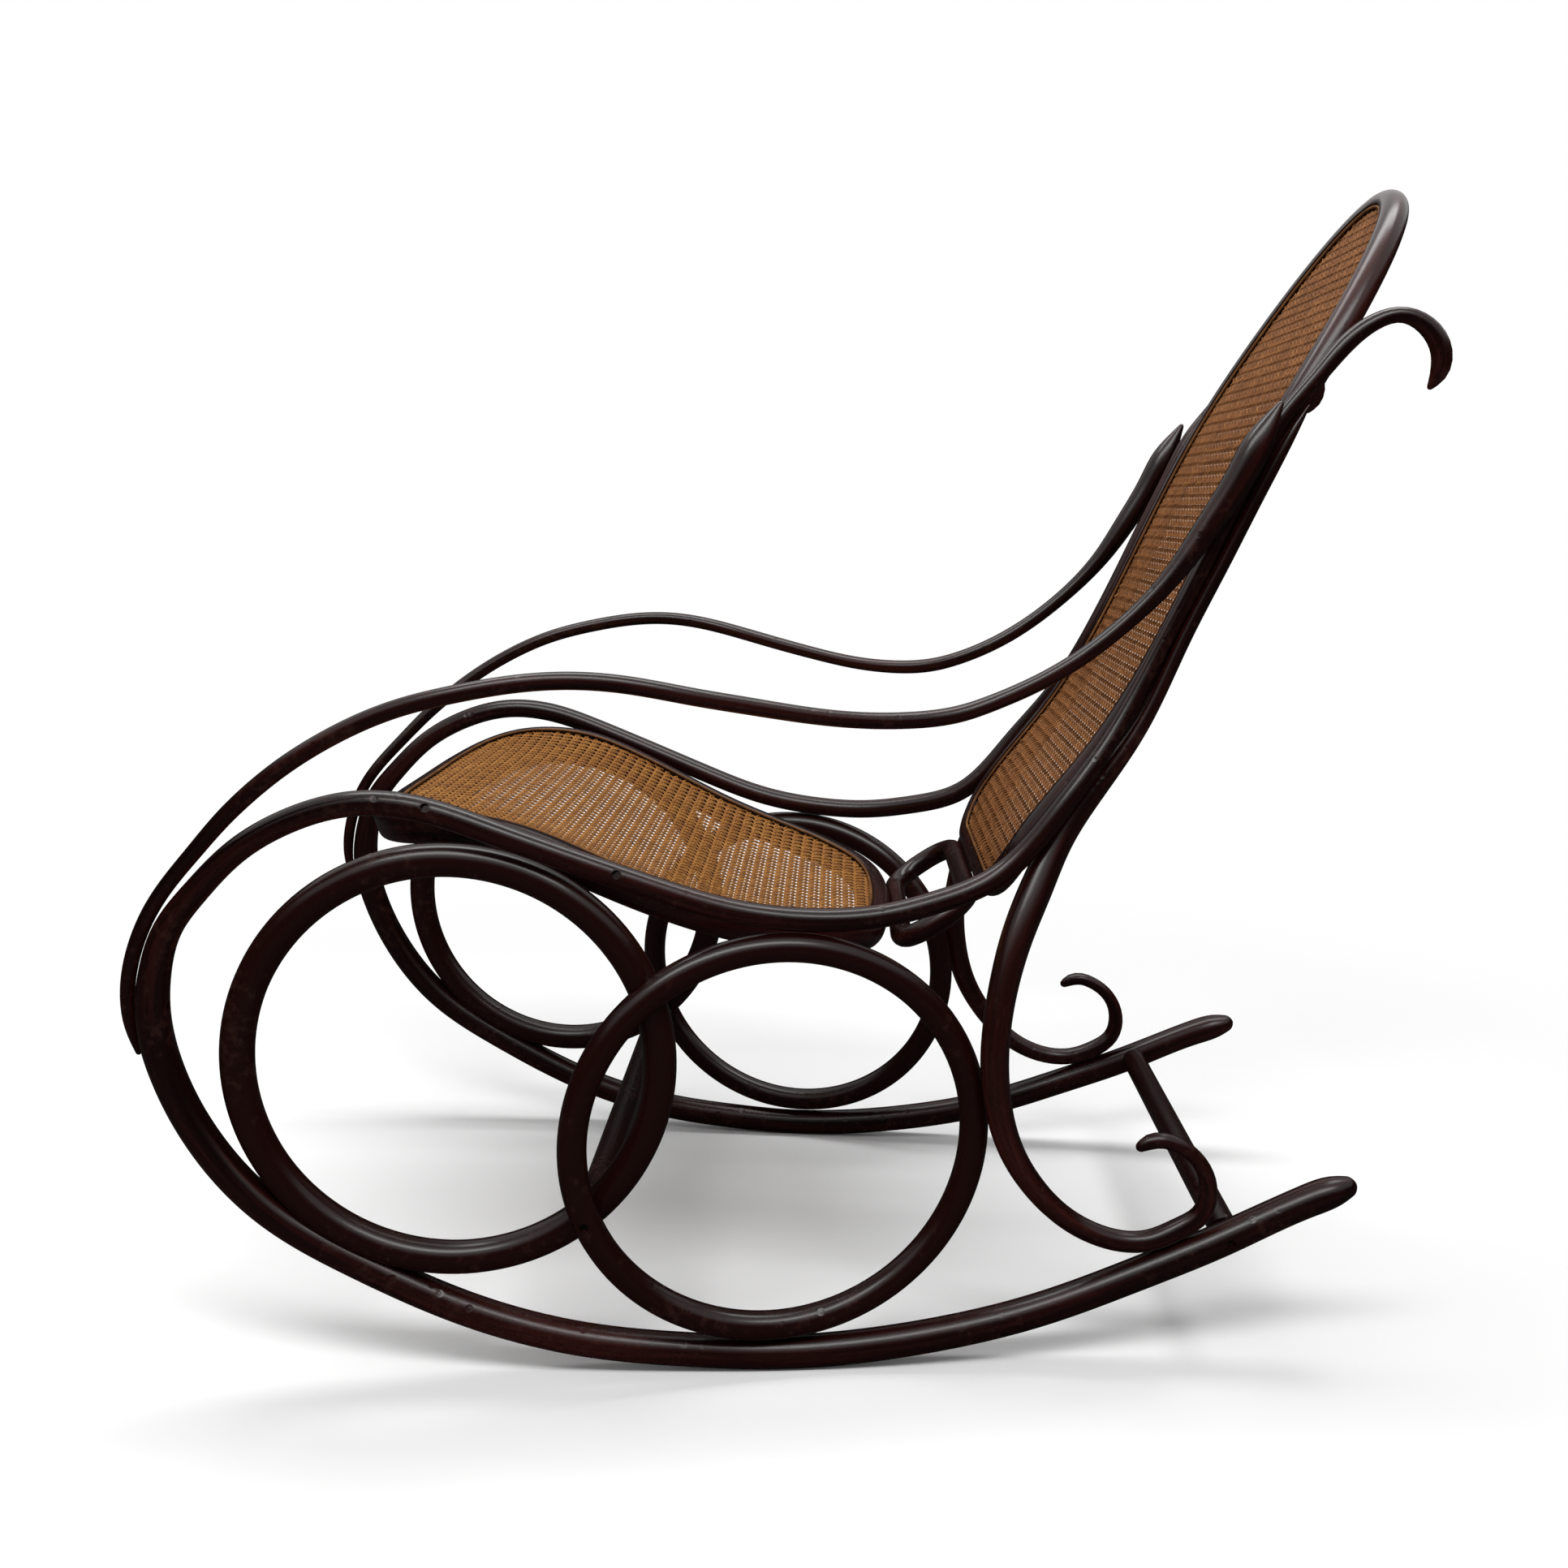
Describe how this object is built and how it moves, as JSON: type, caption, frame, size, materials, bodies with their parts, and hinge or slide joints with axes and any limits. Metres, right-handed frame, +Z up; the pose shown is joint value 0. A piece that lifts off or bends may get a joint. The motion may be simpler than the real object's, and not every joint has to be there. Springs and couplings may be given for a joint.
{
  "type": "bentwood rocking chair",
  "caption": "Bentwood rocking chair with round side rings, scrolled back legs, open bent arms, and a caned seat and back.",
  "frame": {"origin": "middle of the footprint, on the floor", "axes": "+Z up, the sitter faces -Y, +X is the sitter's left"},
  "size_m": [0.6338, 1.044, 0.9744],
  "materials": {
    "wood": "dark stained and polished",
    "cane": "woven cane, satin",
    "screw": "darkened wood screws"
  },
  "bodies": {
    "root": {"side_rail_left": "wood", "side_rail_right": "wood", "arm_left": "wood", "arm_right": "wood", "back_leg_left": "wood", "back_leg_right": "wood", "front_ring_left": "wood", "front_ring_right": "wood", "rear_ring_left": "wood", "rear_ring_right": "wood", "back_hoop": "wood", "back_cane_panel": "cane", "back_cane_spline": "cane", "seat_frame": "wood", "seat_cane_panel": "cane", "seat_cane_spline": "cane", "connecting_loop": "wood", "front_stretcher": "wood", "rear_stretcher": "wood", "seat_bolt_front_left": "screw", "seat_bolt_front_right": "screw", "seat_bolt_rear_left": "screw", "seat_bolt_rear_right": "screw", "ring_screw_left": "screw", "ring_screw_right": "screw", "stretcher_screw_left": "screw", "stretcher_screw_right": "screw", "arm_screw_upper_left": "screw", "arm_screw_upper_right": "screw", "arm_screw_lower_left": "screw", "arm_screw_lower_right": "screw"}
  },
  "joints": []
}
